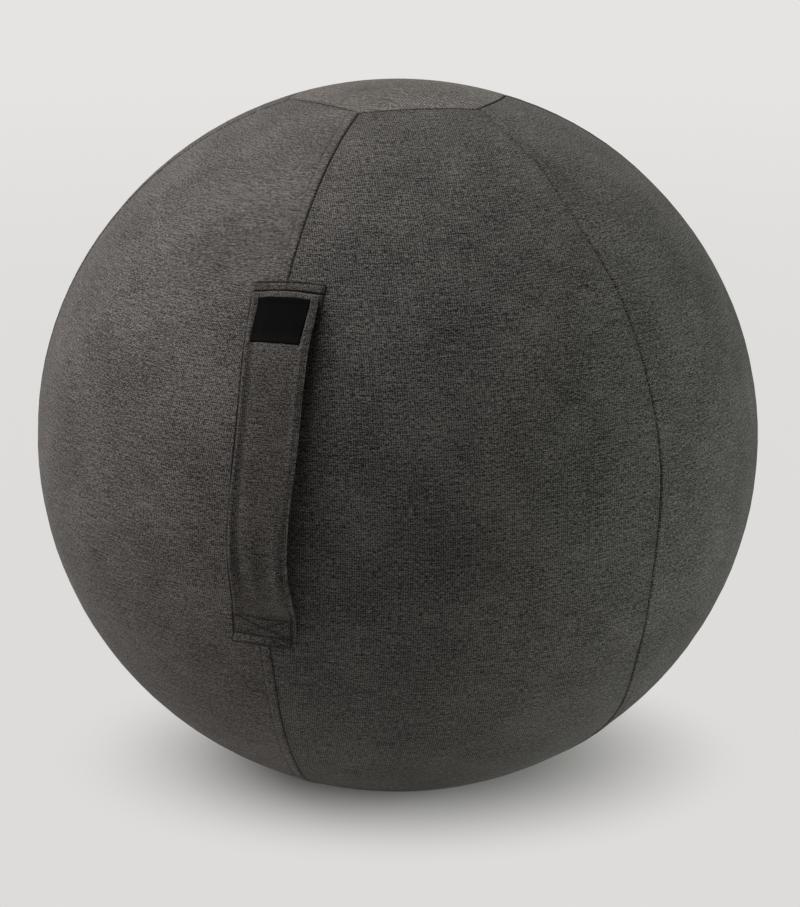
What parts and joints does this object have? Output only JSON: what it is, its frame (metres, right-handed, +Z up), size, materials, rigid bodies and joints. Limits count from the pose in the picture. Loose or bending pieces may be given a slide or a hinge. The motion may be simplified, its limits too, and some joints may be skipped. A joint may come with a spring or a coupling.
{
  "type": "sitting ball",
  "caption": "Air-filled sitting ball in a sewn fabric cover with gores, six-sided end panels, a carrying strap and a zip at the back.",
  "frame": {"origin": "centre of the flat patch on which the ball stands, on the floor", "axes": "+Z up along the ball's axis; the carrying handle faces -Y; the zip is opposite, on +Y; +X to the right of someone who faces the handle"},
  "size_m": [0.65, 0.6703, 0.6382],
  "materials": {
    "cover_cloth": "matt melange weave",
    "base_cloth": "coated, non-slip",
    "bladder_vinyl": "smooth",
    "valve_vinyl": "smooth",
    "zip_tape": "woven",
    "zip_nylon": "satin",
    "zip_metal": "dark satin",
    "webbing": "woven",
    "label_cloth": "smooth woven, plain"
  },
  "bodies": {
    "ball": {"bladder": "bladder_vinyl", "valve_seat": "valve_vinyl", "valve_plug": "valve_vinyl", "gore_front_right": "cover_cloth", "gore_right": "cover_cloth", "gore_back_right": "cover_cloth", "gore_back_left": "cover_cloth", "gore_left": "cover_cloth", "gore_front_left": "cover_cloth", "top_panel": "cover_cloth", "base_panel": "base_cloth", "zip_tape_right": "zip_tape", "zip_tape_left": "zip_tape", "zip_coil_right": "zip_nylon", "zip_coil_left": "zip_nylon", "zip_top_stop_right": "zip_metal", "zip_top_stop_left": "zip_metal", "zip_bottom_stop": "zip_metal", "handle_upper_end": "cover_cloth", "handle_upper_leg": "cover_cloth", "handle_lower_leg": "cover_cloth", "handle_lower_end": "cover_cloth", "handle_label": "label_cloth"},
    "zip_slider": {"zip_slider": "zip_metal"},
    "zip_pull": {"zip_pull": "zip_metal"},
    "handle": {"handle_grip": "cover_cloth", "handle_webbing": "webbing"}
  },
  "joints": [
    {"name": "zip_travel", "type": "hinge", "parent": "ball", "child": "zip_slider", "pos_m": [0, 0.00458, 0.31723], "axis": [-1, 0, 0], "range_deg": [0, 58]},
    {"name": "pull_swing", "type": "hinge", "parent": "zip_slider", "child": "zip_pull", "pos_m": [0, 0.32943, 0.32828], "axis": [1, 0, 0], "range_deg": [-6, 160]},
    {"name": "handle_lift", "type": "slide", "parent": "ball", "child": "handle", "axis": [0, -0.9758, 0.2187], "range_m": [-0.005, 0.012], "stiffness_N_per_m": 150, "deforming": ["handle_upper_leg", "handle_lower_leg"]}
  ]
}
